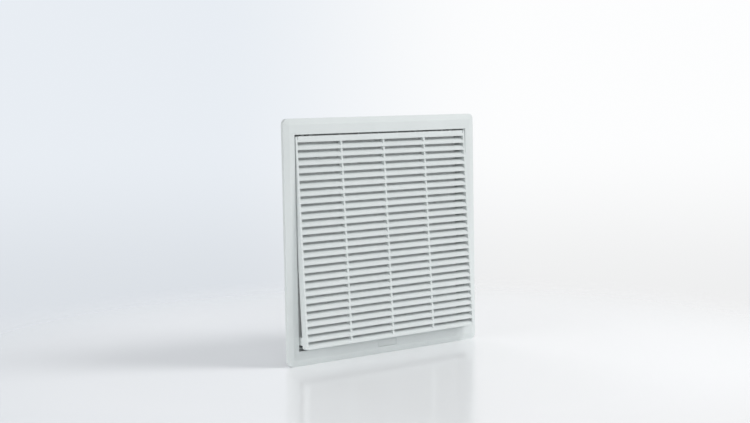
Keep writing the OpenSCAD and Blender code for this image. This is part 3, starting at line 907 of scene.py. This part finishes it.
def buildMat(s):
    low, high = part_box("filter_mat")
    half, middle = (high - low) / 2, (high + low) / 2
    n = s["cells"]
    # Rows crowd towards the edges, where the pad rounds off
    spread = [math.sin(math.pi / 2 * (2 * t / n - 1)) for t in range(n + 1)]
    bm = bmesh.new()
    sheets = []
    for face in (-1, 1):
        rows = []
        for u in spread:
            row = []
            for w in spread:
                x, z = u * half.x, w * half.z
                deep = padThickness(s, half, x, z, face)
                pull = 1 - s["pull"] * unitNoise(Vector((x, s["pullPlane"], z)) * s["pullScale"])
                row.append(bm.verts.new(middle + Vector((x * pull, face * deep, z * pull))))
            rows.append(row)
        sheets.append(rows)
        for i in range(n):
            for k in range(n):
                bm.faces.new((rows[i][k], rows[i + 1][k], rows[i + 1][k + 1], rows[i][k + 1]))
    front, back = sheets
    rim = [(i, 0) for i in range(n)] + [(n, k) for k in range(n)]
    rim += [(i, n) for i in range(n, 0, -1)] + [(0, k) for k in range(n, 0, -1)]
    for (a, b), (c, d) in zip(rim, rim[1:] + rim[:1]):
        bm.faces.new((front[a][b], front[c][d], back[c][d], back[a][b]))
    bmesh.ops.recalc_face_normals(bm, faces=bm.faces)
    return makePiece("fleeceMat", bm, matFleece, sharpAngle=180)


def fibreTree(s):
    # Strews thin bent tubes over a pad, each turned and sized at random from the seed
    tree = newTree("looseFibres", {
        "Pad": "Object", "Density": "Float", "Length": "Float",
        "Radius": "Float", "Seed": "Int", "Material": "Material",
    })
    given = nodeIn(tree, "NodeGroupInput")
    pad = nodeIn(tree, "GeometryNodeObjectInfo", transform_space="ORIGINAL")
    spots = nodeIn(tree, "GeometryNodeDistributePointsOnFaces")
    arc = nodeIn(tree, "GeometryNodeCurveQuadraticBezier", Resolution=4)
    for socket, x, z in (("Start", -0.5, 0.0), ("Middle", 0.0, s["fibreArch"]), ("End", 0.5, 0.0)):
        point = nodeIn(tree, "ShaderNodeCombineXYZ")
        tree.links.new(point.outputs[0], arc.inputs[socket])
        for share, axis in ((x, "X"), (z, "Z")):
            part = nodeIn(tree, "ShaderNodeMath", operation="MULTIPLY")
            part.inputs[1].default_value = share
            tree.links.new(given.outputs["Length"], part.inputs[0])
            tree.links.new(part.outputs[0], point.inputs[axis])
    thin = nodeIn(tree, "GeometryNodeCurvePrimitiveCircle", Resolution=3)
    tube = nodeIn(tree, "GeometryNodeCurveToMesh", Fill_Caps=True)
    scatter = nodeIn(tree, "GeometryNodeInstanceOnPoints")
    spin = nodeIn(tree, "FunctionNodeRandomValue", data_type="FLOAT")
    spin.inputs[3].default_value = s["fibreTurn"]
    tilt = nodeIn(tree, "FunctionNodeRotateRotation", rotation_space="LOCAL")
    about = nodeIn(tree, "FunctionNodeAxisAngleToRotation")
    size = nodeIn(tree, "FunctionNodeRandomValue", data_type="FLOAT")
    size.inputs[2].default_value, size.inputs[3].default_value = s["fibreScale"]
    real = nodeIn(tree, "GeometryNodeRealizeInstances")
    paint = nodeIn(tree, "GeometryNodeSetMaterial")
    out = nodeIn(tree, "NodeGroupOutput")
    wireAll(tree, (
        (given.outputs["Pad"], pad.inputs["Object"]),
        (pad.outputs["Geometry"], spots.inputs["Mesh"]),
        (given.outputs["Density"], spots.inputs["Density"]),
        (given.outputs["Seed"], spots.inputs["Seed"]),
        (arc.outputs["Curve"], tube.inputs["Curve"]),
        (given.outputs["Radius"], thin.inputs["Radius"]),
        (thin.outputs["Curve"], tube.inputs["Profile Curve"]),
        (spots.outputs["Points"], scatter.inputs["Points"]),
        (tube.outputs["Mesh"], scatter.inputs["Instance"]),
        (given.outputs["Seed"], spin.inputs["Seed"]),
        (spin.outputs[1], about.inputs["Angle"]),
        (spots.outputs["Rotation"], tilt.inputs["Rotation"]),
        (about.outputs["Rotation"], tilt.inputs["Rotate By"]),
        (tilt.outputs["Rotation"], scatter.inputs["Rotation"]),
        (size.outputs[1], scatter.inputs["Scale"]),
        (scatter.outputs["Instances"], real.inputs["Geometry"]),
        (real.outputs["Geometry"], paint.inputs["Geometry"]),
        (given.outputs["Material"], paint.inputs["Material"]),
        (paint.outputs["Geometry"], out.inputs["Geometry"]),
    ))
    return tree


def looseFibres(pad, s):
    area = sum(p.area for p in pad.data.polygons)
    return runTree("matFibres", fibreTree(s), matFleece, sharpAngle=180, Pad=pad,
                   Density=s["fibres"] / area, Length=s["fibreLength"], Radius=s["fibreRadius"],
                   Seed=s["seed"])


fleeceMat = buildMat(matSize)
fleeceMat = joinInto("fleeceMat", [fleeceMat, looseFibres(fleeceMat, matSize)])
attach(fleeceMat, "frame")
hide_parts("filter_mat")
print("mat made:", len(fleeceMat.data.polygons), "faces")


# Foamed sealing bead in the channel behind the flange, proud of the seat
sealSize = {
    "outer": 157.6 * mm,
    "inner": 145.4 * mm,
    "corner": 5.2 * mm,
    "leastCorner": 1 * mm,
    "crown": 2.2 * mm,
    "crownSteps": 12,
    "fullness": 0.7,
    "cut": 10 * mm,
    "cuts": 14,
    "wander": 0.12 * mm,
    "wanderScale": 55,
    "wanderFrom": 0.1 * mm,
}


def beadSection(s, base, shoulder):
    # (inset from the outer edge, depth) up the outside, over the crown and down the inside
    wide, steps = s["outer"] - s["inner"], s["crownSteps"]
    section = [(0, base), (0, shoulder)]
    for k in range(1, steps):
        a = math.pi * k / steps
        rise = s["crown"] * math.sin(a) ** s["fullness"]
        section.append((wide / 2 * (1 - math.cos(a)), shoulder + rise))
    return section + [(wide, shoulder), (wide, base)]


def buildSeal(s):
    low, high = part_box("flange_gasket")
    shoulder = high.y - s["crown"]
    rings = []
    for inset, y in beadSection(s, low.y, shoulder):
        x = s["outer"] - inset
        rings.append((-x, x, -x, x, max(s["corner"] - inset, s["leastCorner"]), y))
    bm = loftRings(rings, cornerSteps=10)
    # The long sides are cut up so that the bead can wander a little
    for axis in (0, 2):
        for k in range(-s["cuts"], s["cuts"] + 1):
            at, normal = Vector(), Vector()
            at[axis], normal[axis] = k * s["cut"], 1
            everything = bm.verts[:] + bm.edges[:] + bm.faces[:]
            bmesh.ops.bisect_plane(bm, geom=everything, plane_co=at, plane_no=normal)
    for v in bm.verts:
        if v.co.y > shoulder - s["wanderFrom"]:
            v.co.y -= s["wander"] * unitNoise(v.co * s["wanderScale"])
    return makePiece("sealBead", bm, sealFoam, sharpAngle=50)


sealBead = buildSeal(sealSize)
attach(sealBead, "frame")
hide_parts("flange_gasket")


# Pins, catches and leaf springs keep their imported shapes
packedMetal = {"pin": pinSteel, "spring": stripSteel, "catch": stripSteel}
for node, packed in frame["nodes"].items():
    for word, metal in packedMetal.items():
        if word in node:
            packed.data.materials.clear()
            packed.data.materials.append(metal)
print("seal made, steel finished")


# A pale glossy table that fades into a white room, lit by soft panels
stageLook = {
    "table": (0.97, 0.975, 0.99),
    "tableRadius": 4,
    "tableSides": 96,
    "gloss": 0.15,
    "fade": (0.42, 0.80),
    "roomLeft": (0.81, 0.85, 0.90),
    "roomRight": (0.98, 0.985, 0.99),
    "sideways": (0.50, 0.69),
    "upwards": (-0.15, -0.03),
    "roomLow": 0.88,
    "roomLight": 0.29,
    "roomTint": (0.95, 0.98, 1.0),
}

# Place, size in metres and power in watts; all of them face the middle of the part
softPanels = {
    "keyPanel": ((1.9, -1.6, 1.27), 1.1, 24),
    "topPanel": ((0.8, -0.95, 1.35), 0.6, 11.7),
    "fillPanel": ((-0.9, -1.9, 0.35), 0.6, 8),
    "sidePanel": ((-1.6, -0.1, 0.25), 0.9, 8.5),
    "backPanel": ((0.35, 1.7, 0.2), 0.9, 12),
}


def buildTable(s):
    bm = bmesh.new()
    bmesh.ops.create_circle(bm, cap_ends=True, segments=s["tableSides"], radius=s["tableRadius"])
    material, shader = newMaterial("tableTop", Base_Color=(*s["table"], 1), Roughness=s["gloss"])
    table = makePiece("table", bm, material)
    table.data.transform(Matrix.Translation((0, 0, cadLow.z)))
    tree = material.node_tree
    coords = nodeIn(tree, "ShaderNodeTexCoord")
    far = nodeIn(tree, "ShaderNodeVectorMath", operation="LENGTH")
    clear = nodeIn(tree, "ShaderNodeBsdfTransparent")
    mix = nodeIn(tree, "ShaderNodeMixShader")
    wireAll(tree, (
        (coords.outputs["Object"], far.inputs[0]),
        (smoothRange(tree, far.outputs["Value"], s["fade"]), mix.inputs["Fac"]),
        (shader.outputs["BSDF"], mix.inputs[1]),
        (clear.outputs["BSDF"], mix.inputs[2]),
        (mix.outputs["Shader"], tree.nodes["Material Output"].inputs["Surface"]),
    ))


def buildRoom(s):
    # The camera, reflections and clear surfaces see a graded white room; all else gets plain light
    world = bpy.data.worlds.new("room")
    bpy.context.scene.world = world
    world.use_nodes = True
    tree = world.node_tree
    tree.nodes.clear()
    rays = nodeIn(tree, "ShaderNodeLightPath")
    seen = nodeIn(tree, "ShaderNodeMath", operation="MAXIMUM")
    through = nodeIn(tree, "ShaderNodeMath", operation="MAXIMUM")
    towards = nodeIn(tree, "ShaderNodeTexCoord")
    parts = nodeIn(tree, "ShaderNodeSeparateXYZ")
    tint = nodeIn(tree, "ShaderNodeMix", data_type="RGBA", A=(*s["roomLeft"], 1), B=(*s["roomRight"], 1))
    white = nodeIn(tree, "ShaderNodeBackground")
    light = nodeIn(tree, "ShaderNodeBackground", Color=(*s["roomTint"], 1), Strength=s["roomLight"])
    mix = nodeIn(tree, "ShaderNodeMixShader")
    output = nodeIn(tree, "ShaderNodeOutputWorld")
    wireAll(tree, (
        (rays.outputs["Is Camera Ray"], seen.inputs[0]),
        (rays.outputs["Is Glossy Ray"], seen.inputs[1]),
        (seen.outputs[0], through.inputs[0]),
        (rays.outputs["Is Transmission Ray"], through.inputs[1]),
        (towards.outputs["Generated"], parts.inputs[0]),
        (smoothRange(tree, parts.outputs["X"], s["sideways"]), tint.inputs["Factor"]),
        (tint.outputs["Result"], white.inputs["Color"]),
        (smoothRange(tree, parts.outputs["Z"], s["upwards"], s["roomLow"]), white.inputs["Strength"]),
        (through.outputs[0], mix.inputs["Fac"]),
        (light.outputs["Background"], mix.inputs[1]),
        (white.outputs["Background"], mix.inputs[2]),
        (mix.outputs["Shader"], output.inputs["Surface"]),
    ))


def addPanel(name, place, size, power):
    data = bpy.data.lights.new(name, "AREA")
    data.size = size
    data.energy = power
    lamp = bpy.data.objects.new(name, data)
    bpy.context.scene.collection.objects.link(lamp)
    lamp.location = place
    lamp.visible_glossy = False  # the room shows in reflections, not the lamps
    lamp.rotation_euler = (-Vector(place)).to_track_quat("-Z", "Y").to_euler()


bpy.context.scene.view_settings.view_transform = "Standard"
buildTable(stageLook)
buildRoom(stageLook)
for name, (place, size, power) in softPanels.items():
    addPanel(name, place, size, power)
print("stage set")
